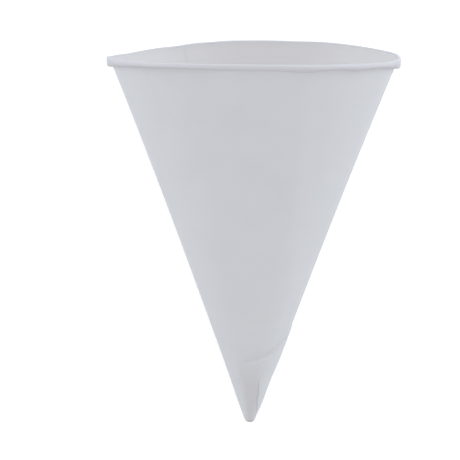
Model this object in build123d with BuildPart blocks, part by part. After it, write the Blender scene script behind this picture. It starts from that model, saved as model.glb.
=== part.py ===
from build123d import *
import os
from math import acos, asin, cos, degrees, radians, sin, sqrt, tan

# A cone paper cup, wound from one sheet of paper, with its mouth squeezed slightly oval.
# It lies on its side, as a cone cup comes to rest, on its rolled rim and its tip.
# X runs across the mouth's wide way, Y along the cup towards the mouth, and Z is up.

# The cone, measured from the point where the lines of its wall meet
cone_angle = 20.15
wall_length = 100.2
mouth_oval = 0.043
paper = 0.25
ring_points = 24
past_mouth = 1.1

# The crimped tip, which stops short of that point and is closed by glued layers
tip_height = 3.25
tip_rounding = 0.5
floor_height = 6.0
floor_rounding = 0.6

# The rolled rim: the wall's edge, turned outwards and down round a tall narrow hollow
# Its two turns are drawn in short straight steps, and it is pressed flat where it lies on the floor
roll_paper = 0.31
roll_root = 0.6
roll_rise = 0.6
root_lap = 0.4
crest_radius = 0.36
roll_side = 1.55
foot_radius = 0.5
foot_turn = 120
turn_steps = 5
flat_depth = 0.15

# The flap, the sheet's outer end, glued over its beginning
# Its edge is a straight cut in the flat sheet that passes the cone's point at a distance
cut_distance = 19.4
cut_azimuth = -125
tail_azimuth = -110
low_tail_azimuth = -61
low_tail_height = 14.2
seam_azimuth = 121
flap_start = 4.4
cut_margin = 0.06
flap_tuck = 0.9
cut_steps = 14

# Worked out from the sizes above
slope = tan(radians(cone_angle))
turn_ratio = sin(radians(cone_angle))
lean = cos(radians(cone_angle))
mouth_height = wall_length * lean
wall_reach = wall_length * past_mouth


def half_widths(height, inset=0.0):
    """Half of the cup's width, which flares a little, and of its depth at a height above the cone's point"""
    flare = mouth_oval * (height / mouth_height) ** 2
    cover = inset / lean
    return slope * height * (1 + flare) - cover, slope * height * (1 - mouth_oval) - cover


def wall_point(azimuth, length):
    """The point of the wall's outside at this azimuth and this far from the cone's point."""
    height = length * lean
    for _ in range(6):
        across, deep = half_widths(height)
        x = across * cos(radians(azimuth))
        y = deep * sin(radians(azimuth))
        height = sqrt(length**2 - x**2 - y**2)
    return (x, y, height)


def wall_ring(length):
    """Points round the wall, all equally far from the cone's point, as in a sheet cut on an arc."""
    return [wall_point(360 * point / ring_points - 90, length) for point in range(ring_points)]


def oval(height, inset):
    """The cup's cross-section at a height, with this much off its outside."""
    with BuildSketch(Plane.XY.offset(height)) as section:
        Ellipse(*half_widths(height, inset))
    return section.sketch


def cone(low, high, inset=0.0):
    """The sections of a loft along the cup between two heights."""
    return [oval(low + (high - low) * share, inset) for share in (0.0, 0.25, 0.5, 0.75, 1.0)]


def roll_side_line(shift):
    """One side of the roll's paper, this far to the right of the middle of its thickness."""
    with BuildLine():
        rise = Line((shift - paper / 2, -roll_root), (shift - paper / 2, roll_rise))
        crest = JernArc(rise @ 1, rise % 1, crest_radius - shift, cone_angle - 180)
        side = Line(crest @ 1, crest @ 1 + crest % 1 * roll_side)
        foot = JernArc(side @ 1, side % 1, foot_radius - shift, -foot_turn)
    shares = [step / turn_steps for step in range(turn_steps + 1)]
    points = [rise @ 0] + [crest @ share for share in shares] + [foot @ share for share in shares]
    return points, foot.arc_center


# The line of the rim on the wall, and the plane of the roll's section, set across it
with BuildLine() as rim_line:
    Spline(*wall_ring(wall_length), periodic=True)
with BuildLine() as guide_line:
    Spline(*wall_ring(wall_length + roll_side), periodic=True)
wall_run = guide_line.line @ 0 - rim_line.line @ 0
across_rim = -(rim_line.line % 0)
rim_plane = Plane(rim_line.line @ 0, x_dir=wall_run.cross(across_rim), z_dir=across_rim)
outside, foot_centre = roll_side_line(-roll_paper / 2)
inside, foot_centre = roll_side_line(roll_paper / 2)

# The floor it lies on, which touches the roll and the back of the flap
foot_middle = rim_plane.from_local_coords(foot_centre)
foot_reach = foot_radius + roll_paper / 2 - flat_depth


def rest_point(height):
    """A point down the middle of the flap's back."""
    return Vector(0, half_widths(height, -paper)[1], height)


def tilt_from(height):
    """The cup's tilt if it lay on the roll and on the flap at this height."""
    span = Vector(0, -foot_middle.Y, foot_middle.Z) - rest_point(height)
    return Axis.Z.direction.get_angle(span) + degrees(asin(foot_reach / span.length))


heights = [flap_start + step for step in range(round(mouth_height / 2))]
rest_height = min(heights, key=tilt_from)
rest_tilt = tilt_from(rest_height)
floor_normal = (0, -cos(radians(rest_tilt)), sin(radians(rest_tilt)))
floor = Plane(rest_point(rest_height), x_dir=(1, 0, 0), z_dir=floor_normal)

# The roll, carried round the rim with its section kept in line with the wall
with BuildSketch(rim_plane) as roll_section:
    with BuildLine():
        Polyline(*outside, *reversed(inside), close=True)
    make_face()
with BuildPart() as roll:
    sweep(roll_section.sketch, path=rim_line.wire(), binormal=guide_line.wire())
    split(bisect_by=floor, keep=Keep.TOP)

# The cone's outside, with the paper's edge cut on a ball round the cone's point
with BuildPart() as upright:
    loft(cone(tip_height, mouth_height * past_mouth))
    fillet(upright.edges().group_by(Axis.Z)[0], tip_rounding)
    Sphere(wall_length + root_lap, mode=Mode.INTERSECT)


def above_cut(azimuth):
    """What the sheet's straight cut leaves off: a strip up the wall at one azimuth, from the cut's height."""
    toward = (cos(radians(azimuth)), sin(radians(azimuth)), 0)
    cut_length = cut_distance / cos(radians(turn_ratio * (azimuth - cut_azimuth)))
    along_wall = Vector(turn_ratio, lean)
    off_wall = Vector(lean, -turn_ratio) * cut_margin
    low = along_wall * cut_length
    high = along_wall * wall_reach * past_mouth
    with BuildSketch(Plane((0, 0, 0), x_dir=toward, z_dir=(toward[1], -toward[0], 0))) as strip:
        with BuildLine():
            Polyline(
                low - off_wall * cut_length,
                low + off_wall * cut_length,
                high + off_wall * wall_reach,
                high - off_wall * wall_reach,
                close=True,
            )
        make_face()
    return strip.sketch


# The flap: round the tip it covers more than half of the cone, and its edge then climbs to the rim
# Low down, it stops sooner, at a fold in the crimped tip
flap_top = mouth_height - roll_side - foot_radius + flap_tuck
last_turn = degrees(acos(cut_distance / wall_reach)) / turn_ratio
cut_step = (cut_azimuth + last_turn - tail_azimuth) / cut_steps
with BuildPart() as flap:
    loft(cone(flap_start, flap_top, -paper))
    with BuildSketch():
        with BuildLine():
            bare = CenterArc((0, 0), wall_length, seam_azimuth, 360 + tail_azimuth - seam_azimuth)
            Line((0, 0), bare @ 0)
            Line((0, 0), bare @ 1)
        make_face()
    extrude(amount=wall_length, mode=Mode.SUBTRACT)
    with BuildSketch():
        with BuildLine():
            sooner = CenterArc((0, 0), wall_length, tail_azimuth, low_tail_azimuth - tail_azimuth)
            Line((0, 0), sooner @ 0)
            Line((0, 0), sooner @ 1)
        make_face()
    extrude(amount=low_tail_height, mode=Mode.SUBTRACT)
    loft([above_cut(tail_azimuth + cut_step * step) for step in range(cut_steps + 1)], mode=Mode.SUBTRACT)

# The hollow of the cup
with BuildPart() as cavity:
    loft(cone(floor_height, mouth_height * past_mouth, paper))
    fillet(cavity.edges().group_by(Axis.Z)[0], floor_rounding)

with upright:
    add(roll.part)
    add(flap.part)
    add(cavity.part, mode=Mode.SUBTRACT)

# Laid on the floor, with the middle of its box over the origin
laid = upright.part.moved(floor.location.inverse())
box = laid.bounding_box()
with BuildPart() as cone_cup:
    add(laid.moved(Location((-box.center().X, -box.center().Y, -box.min.Z))))

print(f"tilt {rest_tilt:.2f}, {len(cone_cup.part.solids())} solid, {len(cone_cup.part.faces())} faces")
print(cone_cup.part.bounding_box(), cone_cup.part.is_valid)
os.makedirs("parts", exist_ok=True)
cone_cup.part.label = "cone_cup"
export_step(cone_cup.part, "parts/cone_cup.step")
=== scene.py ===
import bpy
from math import acos, cos, exp, pi, radians, sin
from mathutils import Matrix, Vector


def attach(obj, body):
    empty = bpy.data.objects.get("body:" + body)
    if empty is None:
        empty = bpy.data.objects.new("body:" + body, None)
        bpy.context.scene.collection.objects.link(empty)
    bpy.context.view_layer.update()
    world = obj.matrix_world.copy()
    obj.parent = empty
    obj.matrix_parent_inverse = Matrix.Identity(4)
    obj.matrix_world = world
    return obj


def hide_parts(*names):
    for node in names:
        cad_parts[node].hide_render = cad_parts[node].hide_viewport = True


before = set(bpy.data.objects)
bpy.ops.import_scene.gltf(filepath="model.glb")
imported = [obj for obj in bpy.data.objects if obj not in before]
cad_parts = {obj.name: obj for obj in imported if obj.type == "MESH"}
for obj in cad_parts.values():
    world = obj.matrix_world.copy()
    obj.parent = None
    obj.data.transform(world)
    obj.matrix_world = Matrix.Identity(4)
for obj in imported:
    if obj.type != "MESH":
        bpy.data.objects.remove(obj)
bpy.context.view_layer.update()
print("frame loaded")


def toLinear(hexColour):    # sRGB hex to the linear colour that Blender's sockets take
    parts = [int(hexColour[place:place + 2], 16) / 255 for place in (1, 3, 5)]
    return [part / 12.92 if part <= 0.04045 else ((part + 0.055) / 1.055) ** 2.4 for part in parts] + [1.0]


def addNode(tree, kind, feeds, **settings):    # one node with its settings, its inputs linked or set
    node = tree.nodes.new(kind)
    for name, value in settings.items():
        setattr(node, name, value)
    for place, feed in feeds.items():
        if isinstance(feed, bpy.types.NodeSocket):
            tree.links.new(feed, node.inputs[place])
        else:
            node.inputs[place].default_value = feed
    return node


def smooth(low, high, value):    # 0 below low, 1 above high, and an even bend between them
    share = min(max((value - low) / (high - low), 0.0), 1.0)
    return share * share * (3 - 2 * share)


def readTable(table, value):    # a value between the rows of a table of pairs, bent evenly from row to row
    if value <= table[0][0]:
        return table[0][1]
    for (start, first), (end, second) in zip(table, table[1:]):
        if value <= end:
            return first + (second - first) * smooth(start, end, value)
    return table[-1][1]


# The cup. Lengths are in mm, measured along the wall from the point where its lines meet.
# Azimuths are in degrees round the cup: 0 is the side that lies uppermost, 90 the right side
cup = {
    "coneAngle": 20.15,       # between the cone's middle line and its wall
    "wallLength": 100.2,      # up to the rim's line
    "mouthFlare": 0.043,      # how far the mouth is squeezed out of round, as a share
    "paper": 0.25,
    "tipLength": 3.15,        # where the blunt tip ends
    "tipSwell": 0.14,         # the crimped layers stand out by this much
    "tipNip": 0.34,           # but on the right side they are nipped in again
    "floorLength": 6.4,       # where the hollow ends, inside the tip
    "wallTop": 0.4,           # the wall's rows end this far below the rim's line
    "seamAzimuth": 209,       # the sheet's inner edge
    "seamGap": 0.1,           # degrees
    "climb": 9,               # degrees over which the paper climbs over its inner edge
    "innerStep": 0.022,       # the inside's step at that edge
    "waveHeight": 0.16,
    "waveSeed": 4.0,
    "waveScale": 3.0,
    "waveDetail": 1.5,
    "waveRoughness": 0.4,
    "sharpAngle": 38,         # a crease at least this sharp isn't smoothed over
    "tilt": 19.8893,          # how far the cup's middle line rises from the floor, lying
    "point": (0.0, -52.0345, 0.2065),    # the cone's point, lying
}
turnRatio = sin(radians(cup["coneAngle"]))    # the flat sheet's turn for each degree round the cup

# The rolled rim: the paper turned outwards and down round a tall narrow hollow
rim = {
    "paper": 0.31,            # stretched, and its layers don't lie tight
    "root": 0.6,              # how far above the rim's line the paper starts to turn
    "crestRadius": 0.36,
    "side": 1.55,
    "footRadius": 0.5,
    "footTurn": 120,
    "crestSteps": 9,
    "sideSteps": 12,
    "footSteps": 8,
    "reach": 1.75,            # how far below the rim's line the whole foot comes down
    "footPress": 0.96,        # how far the pressed foot goes in towards the wall, as a share
    "footGap": 0.05,          # what is left between them at least
    "pressEase": 1.15,        # above 1, the press bears more on the foot than on the side
    "lapSwell": 0.1,          # the roll stands out this much more over the lap
    "swellOver": 0.5,         # the distance out from the wall over which that grows
    "innerTop": 0.45,         # where the inside of the wall meets the roll's inner face
}
# Where the roll's foot ends, beyond the rim's line, by azimuth. On the uppermost side the roll is shorter
# and its foot is pressed in towards the wall, and right of the middle it is lumpy
footEnds = [(-92, -1.75), (-84, -1.75), (-74, -1.3), (-66, -1.0), (-59, -0.65), (-40, -0.45), (-29, -0.5),
            (-20, -0.6), (-4, -0.78), (10, -0.8), (18, -1.08), (24, -1.05), (31, -0.65), (38, -0.5),
            (43, -1.0), (48, -1.0), (53, -0.6), (60, -0.45), (66, -0.85), (76, -1.2), (86, -1.75),
            (92, -1.75)]
pressed = [(-92, 0.0), (-76, 1.0), (76, 1.0), (92, 0.0)]
# How much further up the wall the rim stands, by azimuth, and the lengths over which the wall stretches to it
rimRises = [(88, 0.0), (102, 0.4), (118, 0.4), (150, 0.55), (166, 0.3), (188, 0.2), (200, -0.1),
            (215, -0.7), (240, -1.1), (260, -0.7), (274, 0.0)]
riseOver = (45, cup["wallLength"])

# The flap, the sheet's outer end, glued over its beginning. Its edge is a straight cut in the flat sheet
flap = {
    "cutDistance": 19.4,      # from the cone's point to the line of the cut
    "cutAzimuth": -35,        # where that line comes nearest to the point
    "highest": 99.0,          # the edge ends here, under the roll
    "edgeGap": 0.06,          # from the edge to the first row of the wall above it
    "tailAzimuth": -20,       # the flap's last corner
    "lowTailAzimuth": 29,     # low down, the flap stops sooner
    "lowTail": (12.6, 16.1),  # the lengths between which that ends
    "rises": (3.55, 9.15),    # the lengths between which it thickens out of the tip
    "lip": 0.15,              # how far its edge is pressed down in front
    "lipWidth": 0.45,
    "lipFades": ((-20, -8), (18, 38)),    # the azimuths between which the lip comes in and goes out
    "grooveMiddle": 0.7,      # above the edge
    "grooveWidth": 0.9,
    # where the painted shade above the edge is centred, and how wide it is
    "shadeMiddle": 0.55,
    "shadeWidth": 0.65,
    "tailSpread": 28,         # how far round from the low tail its lean reaches, in degrees
    "tailTop": (15, 18),      # the lengths between which the lean ends
}
# How much higher than a straight cut the edge is glued, by azimuth
cutRises = [(-20, -0.1), (10, 0.0), (38, 0.3), (66, 1.2), (90, 1.4), (140, 0.0)]
# How deep the groove above the edge is, and how strong the painted shade in it, by azimuth
grooves = [(-20, 0.0), (-8, 0.2), (60, 0.2), (80, 0.0)]
edgeShadeStrengths = [(-20, 0.0), (-10, 0.25), (20, 0.3), (42, 0.5), (60, 0.4), (85, 0.0)]
# How far the low tail leans round the cup from the line of the wall, in degrees, by length
tailLeans = [(5.0, 16), (10.2, 0.5), (15.0, -6.0)]

# The soft fold down the front right, with the azimuth that it has at each length, and the crease in the tip
fold = {"height": 0.16, "width": 3.2, "begins": (14, 30), "weakens": (85, 99), "loss": 0.4}
foldLine = [(14, 27), (22, 32), (28, 39), (34, 42), (41, 42), (57, 30), (75, 25), (99, 22)]
crease = {"depth": 0.14, "width": 1.1, "azimuth": 3, "begins": (3.4, 5.0), "ends": (9, 16)}
swellEnds = (8, 20)    # the lengths between which the tip's swell fades out
nipEnds = (13, 21)     # and its nip
# Small hollows: azimuth, length, half-length round the cup and half-height in mm, depth in mm
hollows = [(-7, 33.6, 1.2, 0.35, 0.06), (14, 31.3, 1.2, 0.3, 0.03), (0, 9.4, 2.2, 0.25, 0.1),
           (-12, 62, 14, 9, 0.05), (-10, 98.4, 12, 0.35, 0.04), (53.5, 99.9, 0.3, 0.5, 0.2),
           (43, 99.9, 0.25, 0.6, 0.1)]


def cutLength(azimuth):    # how far up the wall the flap's straight-cut edge runs at this azimuth
    turn = radians(turnRatio * (azimuth - flap["cutAzimuth"]))
    if turn >= acos(flap["cutDistance"] / flap["highest"]):
        return flap["highest"]
    return min(flap["cutDistance"] / cos(turn) + readTable(cutRises, azimuth), flap["highest"])


def lapCover(azimuth, length, above):    # how much of a second layer of paper lies here, 0 to 1
    hair = 0.01    # degrees, so that a column on an edge counts as past it
    fromSeam = azimuth - cup["seamAzimuth"]
    if fromSeam < cup["climb"]:
        return 1 - smooth(0, cup["climb"], fromSeam)
    if azimuth < 360 + flap["tailAzimuth"] - hair:
        return 0.0
    reachesRoll = cutLength(azimuth - 360) >= flap["highest"] - 0.1    # to within 0.1 mm
    if above and not reachesRoll:
        return 0.0
    cover = smooth(*flap["rises"], length)
    if azimuth < 360 + flap["lowTailAzimuth"] - hair:
        cover *= smooth(*flap["lowTail"], length)
    return cover


def bend(azimuth, length):    # how far the whole wall is pushed out of the true cone
    signed = (azimuth + 180) % 360 - 180
    across = radians(turnRatio * (signed - readTable(foldLine, length))) * length
    push = fold["height"] * exp(-(across / fold["width"]) ** 2) * smooth(*fold["begins"], length)
    push *= 1 - fold["loss"] * smooth(*fold["weakens"], length)
    across = turnRatio * radians(signed - crease["azimuth"]) * length
    dent = crease["depth"] * exp(-(across / crease["width"]) ** 2)
    push -= dent * (1 - smooth(*crease["ends"], length)) * smooth(*crease["begins"], length)
    for centre, place, wide, high, depth in hollows:
        across = turnRatio * radians(signed - centre) * length
        push -= depth * exp(-(across / wide) ** 2 - ((length - place) / high) ** 2)
    return push


def rollLine(shift):    # one face of the roll's paper as (length beyond the rim, distance out), root to foot
    crestTurn = radians(180 - cup["coneAngle"]) / rim["crestSteps"]
    footTurn = radians(rim["footTurn"]) / rim["footSteps"]
    steps = [(2 * (rim["crestRadius"] - shift) * sin(crestTurn / 2), crestTurn)] * rim["crestSteps"]
    steps += [(rim["side"] / rim["sideSteps"], 0.0)] * rim["sideSteps"]
    steps += [(2 * (rim["footRadius"] - shift) * sin(footTurn / 2), footTurn)] * rim["footSteps"]
    heading, along, out = radians(90), rim["root"], shift - cup["paper"] / 2
    line = [(along, out)]
    for length, turn in steps:
        along += sin(heading - turn / 2) * length
        out += cos(heading - turn / 2) * length
        heading -= turn
        line.append((along, out))
    return line


# The sheet's section, as rows of (kind, place, distance out, gather). Place is a length or a share of one.
# The roll turns the sheet's inner face outwards, and its rows of that face are of the kind "turned".
# Gather draws a row in towards the middle, for the blunt tip and the floor inside, and at 0 it is one point
sheet = {
    "tipRows": [(0.0, 0.0), (0.4, 0.02), (0.66, 0.09), (0.84, 0.24), (0.95, 0.55), (1.0, 1.1)],
    "floorRows": [(0.8, -0.12), (0.45, -0.2), (0.0, -0.22)],    # both as (gather, length)
    "belowRows": 40,
    "belowShare": 0.93,       # of the way from the tip to the flap's edge
    "belowCrowd": 1.6,        # above 1, the rows crowd at the flap's edge
    "aboveRows": 53,
    "aboveCrowd": 1.5,
    "insideRows": 55,
    "columnStep": 1.2,        # degrees
    "edgeStep": 0.12,         # degrees between the two columns of a straight edge
}
rows = [("tip", along, 0.0, gather) for gather, along in sheet["tipRows"]]
for step in range(1, sheet["belowRows"] + 1):
    left = 1 - step / sheet["belowRows"]
    rows.append(("below", 1 - sheet["belowShare"] * left ** sheet["belowCrowd"], 0.0, 1.0))
for step in range(sheet["aboveRows"] + 1):
    rows.append(("above", (step / sheet["aboveRows"]) ** sheet["aboveCrowd"], 0.0, 1.0))
rows += [("roll", along, out, 1.0) for along, out in rollLine(rim["paper"] / 2)]
rows += [("turned", along, out, 1.0) for along, out in reversed(rollLine(-rim["paper"] / 2))]
for step in range(sheet["insideRows"] + 1):
    rows.append(("inside", 1 - step / sheet["insideRows"], -cup["paper"], 1.0))
rows += [("floor", along, -cup["paper"], gather) for gather, along in sheet["floorRows"]]

# The azimuths of the sheet's columns, from its inner edge once round, with a close pair at each straight edge
seamStart = cup["seamAzimuth"] + cup["seamGap"] / 2
seamEnd = 360 + cup["seamAzimuth"] - cup["seamGap"] / 2
edges = [seamStart, 360 + flap["tailAzimuth"], 360 + flap["lowTailAzimuth"], seamEnd]
columns = [seamStart]
for edge, nextEdge in zip(edges, edges[1:]):
    low = edge + (sheet["edgeStep"] / 2 if edge != seamStart else 0)
    high = nextEdge - (sheet["edgeStep"] / 2 if nextEdge != seamEnd else 0)
    if edge != seamStart:
        columns.append(low)
    count = round((high - low) / sheet["columnStep"])
    columns += [low + (high - low) * step / count for step in range(1, count + 1)]


def sheetPoint(row, azimuth):    # (azimuth, length, distance out) of a point of the sheet, not yet wound
    kind, place, out, gather = row
    again = azimuth - 360    # the azimuth as the flap's tables give it
    tail, rimLine = flap["tailAzimuth"], cup["wallLength"]
    cut = cutLength(again if again > tail else azimuth)
    lipBegins, lipEnds = flap["lipFades"]
    lip = flap["lip"] * smooth(*lipBegins, again) * (1 - smooth(*lipEnds, again))
    if cup["seamAzimuth"] <= azimuth < 360 + tail:    # no edge here: the rows cross from the roll to the tail
        share = smooth(cup["seamAzimuth"] + cup["climb"], 360 + tail - 10, azimuth)
        cut = flap["highest"] * (1 - share) + cutLength(tail) * share
    if kind in ("tip", "below"):
        length = cup["tipLength"] + (place if kind == "tip" else (cut - cup["tipLength"]) * place)
        out += cup["paper"] * lapCover(azimuth, length, False)
        out -= lip * exp(-((cut - length) / flap["lipWidth"]) ** 2)
        nearTail = exp(-((again - flap["lowTailAzimuth"]) / flap["tailSpread"]) ** 2)
        azimuth += readTable(tailLeans, length) * nearTail * (1 - smooth(*flap["tailTop"], length)) * gather
    elif kind == "above":
        first = cut + flap["edgeGap"]
        length = first + (rimLine - cup["wallTop"] - first) * place
        out += cup["paper"] * lapCover(azimuth, length, True)
        fromGroove = length - cut - flap["grooveMiddle"]
        out -= readTable(grooves, again) * exp(-(fromGroove / flap["grooveWidth"]) ** 2)
    elif kind in ("roll", "turned"):
        length = rimLine + place
        if out > rim["footGap"] and place < rim["root"]:    # the side and the foot are pressed in
            signed = (azimuth + 180) % 360 - 180
            down = (rim["root"] - place) / (rim["root"] + rim["reach"])
            length = rimLine + rim["root"] - down * (rim["root"] - readTable(footEnds, signed))
            press = rim["footPress"] * readTable(pressed, signed) * down ** rim["pressEase"]
            out = rim["footGap"] + (out - rim["footGap"]) * (1 - press)
        if out > rim["footGap"]:
            out += rim["lapSwell"] * smooth(0.0, rim["swellOver"], out) * lapCover(azimuth, rimLine, True)
    else:
        length = cup["floorLength"] + place
        if kind == "inside":
            length = cup["floorLength"] + (rimLine + rim["innerTop"] - cup["floorLength"]) * place
        out += cup["innerStep"] * (1 - smooth(0, cup["climb"], azimuth - cup["seamAzimuth"]))
    out += bend(azimuth, length)
    if kind in ("tip", "below", "above"):
        out += cup["tipSwell"] * (1 - smooth(*swellEnds, length)) * gather
        onRight = max(sin(radians(azimuth)), 0) ** 2
        out -= cup["tipNip"] * onRight * (1 - smooth(*nipEnds, length)) * gather
    length += readTable(rimRises, azimuth % 360) * smooth(*riseOver, length)
    return azimuth, length, out


# The sheet's points, with what each belongs to as shares from 0 to 1
points, faces, rowStarts = [], [], []
shares = {"gather": [], "inner": [], "rolled": [], "glued": []}
for row in rows:
    kind, gather = row[0], row[3]
    rowStarts.append(len(points))
    for azimuth in columns if gather > 0 else columns[:1]:
        points.append(sheetPoint(row, azimuth))
        # painted shade in a band above the flap's edge, on the outside rows only
        fromShadeLine = points[-1][1] - cutLength(azimuth - 360) - flap["shadeMiddle"]
        glue = readTable(edgeShadeStrengths, azimuth - 360) * exp(-(fromShadeLine / flap["shadeWidth"]) ** 2)
        shares["gather"].append(gather)
        shares["inner"].append(1.0 if kind in ("inside", "floor") else 0.0)
        shares["rolled"].append(1.0 if kind == "turned" else 0.0)
        shares["glued"].append(glue if kind == "above" else 0.0)
for place, (start, nextStart) in enumerate(zip(rowStarts, rowStarts[1:])):
    for column in range(len(columns)):
        after = (column + 1) % len(columns)
        if rows[place][3] == 0:
            faces.append((start, nextStart + after, nextStart + column))
        elif rows[place + 1][3] == 0:
            faces.append((start + column, start + after, nextStart))
        else:
            faces.append((start + column, start + after, nextStart + after, nextStart + column))
flatSheet = bpy.data.meshes.new("conePaperCup")
flatSheet.from_pydata(points, [], faces)
for name, values in shares.items():
    flatSheet.attributes.new(name, "FLOAT", "POINT").data.foreach_set("value", values)
paperCup = bpy.data.objects.new("conePaperCup", flatSheet)
bpy.context.scene.collection.objects.link(paperCup)
print("sheet laid out,", len(columns), "columns by", len(rows), "rows")


# Paper stock: uncoated bleached paper, calendered smooth and wound dry. It is matt, with a soft sheen at a
# grazing angle, and a faint felt of fibres
paperLook = {
    "colour": "#D3D2D5",
    "coolColour": "#D1D3D4",
    "shade": "#CCCCCE",
    "paintedShade": "#C5C3C4",     # painted shade, on the tip's middle and in a band above the flap's edge
    "endShade": "#8E8785",      # painted shade in the crimped end
    # painted light: the inside is painted lighter and warmer than the outside, for the light its hollow loses
    "innerPaintedLight": "#D6D3D4",
    # painted shade: the roll's outward-turned face is painted darker
    "rollPaintedShade": "#CBC9CD",
    "fibreWidth": 0.6,          # mm, drawn about ten times coarser than real fibres, so that it shows
    "fibreDepth": 0.06,         # mm
    "fibreStrength": 0.12,
    "fibreDetail": 3.0,
    "fibreRoughness": 0.7,
    "fibreTwist": 0.6,
    "mottleSize": 9.0,          # mm, the size of the cloudy patches in the sheet
    "mottleDepth": 0.2,         # mm
    "mottleStrength": 0.35,
    "mottleDetail": 4.0,
    "mottleRoughness": 0.6,
    "tintSize": 26.0,           # mm, the size of the faint cool patches
    "tintDetail": 1.0,
    "tintSpan": (0.38, 0.62),
    "tipShadeSpan": (9.0, 24.0),    # mm from the cone's point over which the painted shade on the tip fades
    "tipShadeStrength": 0.85,
    "stripSpan": (0.05, 0.26),  # how far to the side that shade reaches, as a share of the length
    "stripRest": 0.15,          # what is left of it beyond
    "endSpan": (3.2, 3.8),      # mm
    "endStrength": 0.6,
    "roughness": 0.62,
    "sheen": 0.08,
    "sheenRoughness": 0.5,
}
paperStock = bpy.data.materials.new("bleachedPaperStock")
paperStock.use_nodes = True
look = paperStock.node_tree
look.nodes.clear()
where = addNode(look, "ShaderNodeTexCoord", {}).outputs["Object"]
mottle = addNode(look, "ShaderNodeTexNoise", {
    "Vector": where, "Scale": 1000 / paperLook["mottleSize"], "Detail": paperLook["mottleDetail"],
    "Roughness": paperLook["mottleRoughness"]}).outputs["Fac"]
fibres = addNode(look, "ShaderNodeTexNoise", {
    "Vector": where, "Scale": 1000 / paperLook["fibreWidth"], "Detail": paperLook["fibreDetail"],
    "Roughness": paperLook["fibreRoughness"], "Distortion": paperLook["fibreTwist"]}).outputs["Fac"]
tint = addNode(look, "ShaderNodeTexNoise", {
    "Vector": where, "Scale": 1000 / paperLook["tintSize"], "Detail": paperLook["tintDetail"]}).outputs["Fac"]
low, high = paperLook["tintSpan"]
cool = addNode(look, "ShaderNodeMapRange", {"Value": tint, "From Min": low, "From Max": high}).outputs[0]
colours = [toLinear(paperLook[name]) for name in ("colour", "coolColour")]
white = addNode(look, "ShaderNodeMix", {0: cool, 6: colours[0], 7: colours[1]}, data_type="RGBA").outputs[2]
tone = addNode(look, "ShaderNodeMix", {
    0: mottle, 6: toLinear(paperLook["shade"]), 7: white}, data_type="RGBA").outputs[2]
# Painted shade: the tip is darker towards its point, mostly in a strip down its middle, where its sides catch
# more light
fromPoint = addNode(look, "ShaderNodeVectorMath", {
    0: where, 1: [value / 1000 for value in cup["point"]]}, operation="DISTANCE").outputs["Value"]
low, high = paperLook["tipShadeSpan"]
tipShade = addNode(look, "ShaderNodeMapRange", {
    "Value": fromPoint, "From Min": low / 1000, "From Max": high / 1000,
    "To Min": paperLook["tipShadeStrength"], "To Max": 0.0}, interpolation_type="SMOOTHSTEP").outputs["Result"]
sideways = addNode(look, "ShaderNodeSeparateXYZ", {0: where}).outputs["X"]
sideways = addNode(look, "ShaderNodeMath", {0: sideways}, operation="ABSOLUTE").outputs[0]
sideways = addNode(look, "ShaderNodeMath", {0: sideways, 1: fromPoint}, operation="DIVIDE").outputs[0]
low, high = paperLook["stripSpan"]
strip = addNode(look, "ShaderNodeMapRange", {
    "Value": sideways, "From Min": low, "From Max": high,
    "To Min": 1.0, "To Max": paperLook["stripRest"]}, interpolation_type="SMOOTHSTEP").outputs["Result"]
tipShade = addNode(look, "ShaderNodeMath", {0: tipShade, 1: strip}, operation="MULTIPLY").outputs[0]
# Painted shade: the crimped end is darkest, where shadow falls between its pinched layers
low, high = paperLook["endSpan"]
crimpShadow = addNode(look, "ShaderNodeMapRange", {
    "Value": fromPoint, "From Min": low / 1000, "From Max": high / 1000,
    "To Min": paperLook["endStrength"], "To Max": 0.0}).outputs["Result"]
glued, inner, rolled = [addNode(look, "ShaderNodeAttribute", {}, attribute_name=name).outputs["Fac"]
                        for name in ("glued", "inner", "rolled")]
# Painted shade on the tip, above the flap's edge, in the crimped end and on the roll's turned face, and
# painted light on the inside
paintedTones = [(tipShade, "paintedShade"), (glued, "paintedShade"), (crimpShadow, "endShade"), (inner, "innerPaintedLight"),
          (rolled, "rollPaintedShade")]
for amount, colour in paintedTones:
    tone = addNode(look, "ShaderNodeMix", {
        0: amount, 6: tone, 7: toLinear(paperLook[colour])}, data_type="RGBA").outputs[2]
grain = addNode(look, "ShaderNodeBump", {
    "Height": fibres, "Strength": paperLook["fibreStrength"], "Distance": paperLook["fibreDepth"] / 1000})
crumple = addNode(look, "ShaderNodeBump", {
    "Height": mottle, "Strength": paperLook["mottleStrength"], "Distance": paperLook["mottleDepth"] / 1000,
    "Normal": grain.outputs["Normal"]})
finish = addNode(look, "ShaderNodeBsdfPrincipled", {
    "Base Color": tone, "Roughness": paperLook["roughness"], "Sheen Weight": paperLook["sheen"],
    "Sheen Roughness": paperLook["sheenRoughness"], "Normal": crumple.outputs["Normal"]})
addNode(look, "ShaderNodeOutputMaterial", {"Surface": finish.outputs["BSDF"]})
print("paper finish made")


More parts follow.
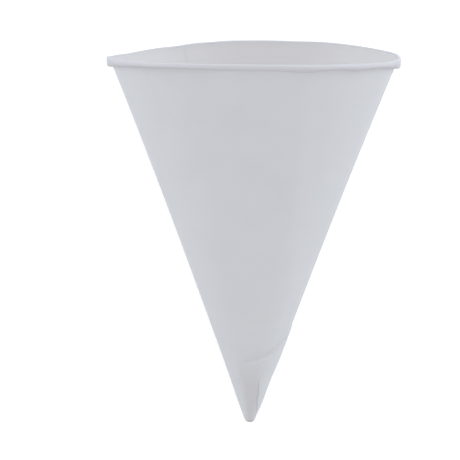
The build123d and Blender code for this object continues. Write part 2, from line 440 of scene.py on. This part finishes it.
# The winding: a Geometry Nodes tree that turns the flat sheet's points (azimuth, length, distance out) into
# the wound cone, with the mouth squeezed oval, and lays it on the floor
winding = bpy.data.node_groups.new("windTheSheet", "GeometryNodeTree")
winding.interface.new_socket("Geometry", in_out="INPUT", socket_type="NodeSocketGeometry")
windingSizes = {
    "Cone angle": radians(cup["coneAngle"]),
    "Wall length": cup["wallLength"],
    "Mouth flare": cup["mouthFlare"],
    "Wave height": cup["waveHeight"],
    "Wave seed": cup["waveSeed"],
    "Tilt": radians(cup["tilt"]),
}
for name in windingSizes:
    winding.interface.new_socket(name, in_out="INPUT", socket_type="NodeSocketFloat")
winding.interface.new_socket("Point", in_out="INPUT", socket_type="NodeSocketVector")
winding.interface.new_socket("Paper", in_out="INPUT", socket_type="NodeSocketMaterial")
winding.interface.new_socket("Geometry", in_out="OUTPUT", socket_type="NodeSocketGeometry")
given = addNode(winding, "NodeGroupInput", {}).outputs
flatPlace = addNode(winding, "GeometryNodeInputPosition", {}).outputs[0]
flat = addNode(winding, "ShaderNodeSeparateXYZ", {0: flatPlace}).outputs
turn = addNode(winding, "ShaderNodeMath", {0: flat["X"]}, operation="RADIANS").outputs[0]
across = addNode(winding, "ShaderNodeMath", {0: turn}, operation="SINE").outputs[0]
upward = addNode(winding, "ShaderNodeMath", {0: turn}, operation="COSINE").outputs[0]
spread = addNode(winding, "ShaderNodeMath", {0: given["Cone angle"]}, operation="SINE").outputs[0]
rise = addNode(winding, "ShaderNodeMath", {0: given["Cone angle"]}, operation="COSINE").outputs[0]
share = addNode(winding, "ShaderNodeMath", {
    0: flat["Y"], 1: given["Wall length"]}, operation="DIVIDE").outputs[0]
flare = addNode(winding, "ShaderNodeMath", {0: share, 1: 2.0}, operation="POWER").outputs[0]
wider = addNode(winding, "ShaderNodeMath", {
    0: flare, 1: given["Mouth flare"], 2: 1.0}, operation="MULTIPLY_ADD").outputs[0]
flatter = addNode(winding, "ShaderNodeMath", {
    0: given["Mouth flare"], 1: 1.0}, operation="SUBTRACT").outputs[0]
# The direction up the wall
wallX = addNode(winding, "ShaderNodeMath", {0: across, 1: wider}, operation="MULTIPLY").outputs[0]
wallY = addNode(winding, "ShaderNodeMath", {0: upward, 1: flatter}, operation="MULTIPLY").outputs[0]
ring = addNode(winding, "ShaderNodeCombineXYZ", {"X": wallX, "Y": wallY}).outputs[0]
ringOut = addNode(winding, "ShaderNodeVectorMath", {0: ring, "Scale": spread}, operation="SCALE").outputs[0]
axial = addNode(winding, "ShaderNodeCombineXYZ", {"Z": rise}).outputs[0]
upWall = addNode(winding, "ShaderNodeVectorMath", {0: ringOut, 1: axial}, operation="ADD").outputs[0]
upWall = addNode(winding, "ShaderNodeVectorMath", {0: upWall}, operation="NORMALIZE").outputs[0]
# The direction out of the wall
outX = addNode(winding, "ShaderNodeMath", {0: across, 1: wider}, operation="DIVIDE").outputs[0]
outY = addNode(winding, "ShaderNodeMath", {0: upward, 1: flatter}, operation="DIVIDE").outputs[0]
outRing = addNode(winding, "ShaderNodeCombineXYZ", {"X": outX, "Y": outY}).outputs[0]
outRing = addNode(winding, "ShaderNodeVectorMath", {0: outRing, "Scale": rise}, operation="SCALE").outputs[0]
sink = addNode(winding, "ShaderNodeCombineXYZ", {"Z": spread}).outputs[0]
outWall = addNode(winding, "ShaderNodeVectorMath", {0: outRing, 1: sink}, operation="SUBTRACT").outputs[0]
outWall = addNode(winding, "ShaderNodeVectorMath", {0: outWall}, operation="NORMALIZE").outputs[0]
# Slow waves in the paper, which fade towards the tip
waves = addNode(winding, "ShaderNodeTexNoise", {
    "Vector": upWall, "W": given["Wave seed"], "Scale": cup["waveScale"], "Detail": cup["waveDetail"],
    "Roughness": cup["waveRoughness"]}, noise_dimensions="4D").outputs["Fac"]
waves = addNode(winding, "ShaderNodeMath", {0: waves, 1: 0.5}, operation="SUBTRACT").outputs[0]
waves = addNode(winding, "ShaderNodeMath", {0: waves, 1: share}, operation="MULTIPLY").outputs[0]
away = addNode(winding, "ShaderNodeMath", {
    0: waves, 1: given["Wave height"], 2: flat["Z"]}, operation="MULTIPLY_ADD").outputs[0]
up = addNode(winding, "ShaderNodeVectorMath", {0: upWall, "Scale": flat["Y"]}, operation="SCALE").outputs[0]
aside = addNode(winding, "ShaderNodeVectorMath", {0: outWall, "Scale": away}, operation="SCALE").outputs[0]
wound = addNode(winding, "ShaderNodeVectorMath", {0: up, 1: aside}, operation="ADD").outputs[0]
gather = addNode(winding, "GeometryNodeInputNamedAttribute", {"Name": "gather"}, data_type="FLOAT").outputs[0]
drawn = addNode(winding, "ShaderNodeCombineXYZ", {"X": gather, "Y": gather, "Z": 1.0}).outputs[0]
wound = addNode(winding, "ShaderNodeVectorMath", {0: wound, 1: drawn}, operation="MULTIPLY").outputs[0]
metres = addNode(winding, "ShaderNodeVectorMath", {0: wound, "Scale": 0.001}, operation="SCALE").outputs[0]
placed = addNode(winding, "GeometryNodeSetPosition", {
    "Geometry": given["Geometry"], "Position": metres}).outputs[0]
# Upright, the side at azimuth 0 faces -Y. Laid down, that side is uppermost and the mouth is at +Y
lean = addNode(winding, "ShaderNodeMath", {0: given["Tilt"], 1: -pi / 2}, operation="ADD").outputs[0]
leaning = addNode(winding, "ShaderNodeCombineXYZ", {"X": lean}).outputs[0]
laid = addNode(winding, "GeometryNodeTransform", {
    "Geometry": placed, "Rotation": leaning, "Translation": given["Point"]}).outputs[0]
# The roll is pressed flat where it would dip below the floor
laidPlace = addNode(winding, "GeometryNodeInputPosition", {}).outputs[0]
lying = addNode(winding, "ShaderNodeSeparateXYZ", {0: laidPlace}).outputs
raised = addNode(winding, "ShaderNodeMath", {0: lying["Z"], 1: 0.0}, operation="MAXIMUM").outputs[0]
resting = addNode(winding, "ShaderNodeCombineXYZ", {"X": lying["X"], "Y": lying["Y"], "Z": raised}).outputs[0]
rested = addNode(winding, "GeometryNodeSetPosition", {"Geometry": laid, "Position": resting}).outputs[0]
real = addNode(winding, "GeometryNodeRealizeInstances", {"Geometry": rested}).outputs[0]
dressed = addNode(winding, "GeometryNodeSetMaterial", {"Geometry": real, "Material": given["Paper"]})
addNode(winding, "NodeGroupOutput", {"Geometry": dressed.outputs[0]})

windUp = paperCup.modifiers.new("windTheSheet", "NODES")
windUp.node_group = winding
socketOf = {item.name: item.identifier for item in winding.interface.items_tree if item.in_out == "INPUT"}
for name, value in windingSizes.items():
    windUp[socketOf[name]] = value
windUp[socketOf["Point"]] = [value / 1000 for value in cup["point"]]
windUp[socketOf["Paper"]] = paperStock
bpy.context.view_layer.update()
evaluated = paperCup.evaluated_get(bpy.context.evaluated_depsgraph_get())
woundCup = bpy.data.meshes.new_from_object(evaluated)
paperCup.modifiers.remove(windUp)
paperCup.data = woundCup
woundCup.attributes.remove(woundCup.attributes["gather"])
woundCup.shade_smooth()
woundCup.set_sharp_from_angle(angle=radians(cup["sharpAngle"]))
lowest = min(vertex.co.z for vertex in woundCup.vertices)
print("cup wound,", len(woundCup.polygons), "faces, lowest", lowest)
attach(paperCup, "root")
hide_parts("cone_cup")


# The floor: matt white board. The camera sees it lit up to white, and it keeps the cup's shadow
floorLook = {"colour": "#E6E6E6", "size": 6.0, "glow": 0.4}
floorMesh = bpy.data.meshes.new("floor")
half = floorLook["size"] / 2
corners = [(-half, -half, 0), (half, -half, 0), (half, half, 0), (-half, half, 0)]
floorMesh.from_pydata(corners, [], [(0, 1, 2, 3)])
floor = bpy.data.objects.new("floor", floorMesh)
bpy.context.scene.collection.objects.link(floor)
whiteBoard = bpy.data.materials.new("mattWhiteBoard")
whiteBoard.use_nodes = True
board = whiteBoard.node_tree
board.nodes.clear()
rays = addNode(board, "ShaderNodeLightPath", {}).outputs
seen = rays["Is Camera Ray"]
for ray in ("Is Glossy Ray", "Is Transmission Ray"):
    seen = addNode(board, "ShaderNodeMath", {0: seen, 1: rays[ray]}, operation="MAXIMUM").outputs[0]
matt = addNode(board, "ShaderNodeBsdfDiffuse", {"Color": toLinear(floorLook["colour"])}).outputs[0]
strength = addNode(board, "ShaderNodeMath", {0: seen, 1: floorLook["glow"]}, operation="MULTIPLY").outputs[0]
glow = addNode(board, "ShaderNodeEmission", {"Color": (1, 1, 1, 1), "Strength": strength}).outputs[0]
both = addNode(board, "ShaderNodeAddShader", {0: matt, 1: glow}).outputs[0]
addNode(board, "ShaderNodeOutputMaterial", {"Surface": both})
floorMesh.materials.append(whiteBoard)

# Soft studio light: a pale room, brightest overhead, two cool lamps beyond the mouth's end that graze the
# cup's edges, and a weaker one on the tip's side that faces the uppermost wall
roomLook = {"colour": "#FAFBFF", "lowGlow": 0.38, "overheadGlow": 1.035}
room = bpy.data.worlds.new("room")
room.use_nodes = True
bpy.context.scene.world = room
air = room.node_tree
air.nodes.clear()
sky = addNode(air, "ShaderNodeTexCoord", {}).outputs["Generated"]
height = addNode(air, "ShaderNodeSeparateXYZ", {0: sky}).outputs["Z"]
skyGlow = addNode(air, "ShaderNodeMapRange", {
    "Value": height, "From Min": 0.0, "From Max": 1.0,
    "To Min": roomLook["lowGlow"], "To Max": roomLook["overheadGlow"]}).outputs[0]
skyLight = addNode(air, "ShaderNodeBackground", {"Color": toLinear(roomLook["colour"]), "Strength": skyGlow})
addNode(air, "ShaderNodeOutputWorld", {"Surface": skyLight.outputs[0]})
lamps = {
    "leftLamp": {"place": (-0.85, 0.6, 0.25), "power": 4.0, "size": 0.5, "colour": "#EFFAFF"},
    "rightLamp": {"place": (0.85, 0.6, 0.25), "power": 4.8, "size": 0.5, "colour": "#EFFAFF"},
    "faceLamp": {"place": (0.0, -0.9, 1.1), "power": 3.5, "size": 1.0, "colour": "#FAFBFF"},
}
lampTarget = Vector((0, 0, 0.03))
for name, lamp in lamps.items():
    light = bpy.data.lights.new(name, "AREA")
    light.shape, light.size, light.energy = "SQUARE", lamp["size"], lamp["power"]
    light.color = toLinear(lamp["colour"])[:3]
    lampObject = bpy.data.objects.new(name, light)
    bpy.context.scene.collection.objects.link(lampObject)
    lampObject.location = lamp["place"]
    lampObject.rotation_euler = (lampTarget - Vector(lamp["place"])).to_track_quat("-Z", "Y").to_euler()
print("light set")

# The camera looks down on the lying cup from its uppermost side, a little from the mouth's end
view = {
    "distance": 4.0,                # m
    "pixel": 0.25,                  # mm on the cup
    "pictureSize": 460,
    "above": 5.6,                   # degrees above the plane of the mouth, as the upright cup is seen
    "roll": 0.5,                    # degrees
    "pointPixel": (250.3, 433.5),   # where the cone's point is in the picture
    "sensorWidth": 36,
    "clipEnd": 20,
}
tilt = radians(cup["tilt"])
axis = Vector((0, cos(tilt), sin(tilt)))
faceNormal = Vector((0, -sin(tilt), cos(tilt)))
above = radians(view["above"])
toCamera = cos(above) * faceNormal + sin(above) * axis
pictureUp = cos(above) * axis - sin(above) * faceNormal
pictureRight = pictureUp.cross(toCamera)
roll = Matrix.Rotation(radians(view["roll"]), 3, toCamera)
pictureUp, pictureRight = roll @ pictureUp, roll @ pictureRight
pixel = view["pixel"] / 1000
halfPicture = view["pictureSize"] / 2
target = Vector(cup["point"]) / 1000
target += pictureRight * (halfPicture - view["pointPixel"][0]) * pixel
target += pictureUp * (view["pointPixel"][1] - halfPicture) * pixel
camera = bpy.data.objects.new("camera", bpy.data.cameras.new("camera"))
bpy.context.scene.collection.objects.link(camera)
facing = Matrix((pictureRight, pictureUp, toCamera)).transposed().to_4x4()
camera.matrix_world = Matrix.Translation(target + toCamera * view["distance"]) @ facing
camera.data.sensor_width = view["sensorWidth"]
camera.data.lens = view["sensorWidth"] * view["distance"] / (view["pictureSize"] * pixel)
camera.data.clip_end = view["clipEnd"]
bpy.context.scene.camera = camera
bpy.context.scene.view_settings.view_transform = "Standard"
print("camera set")
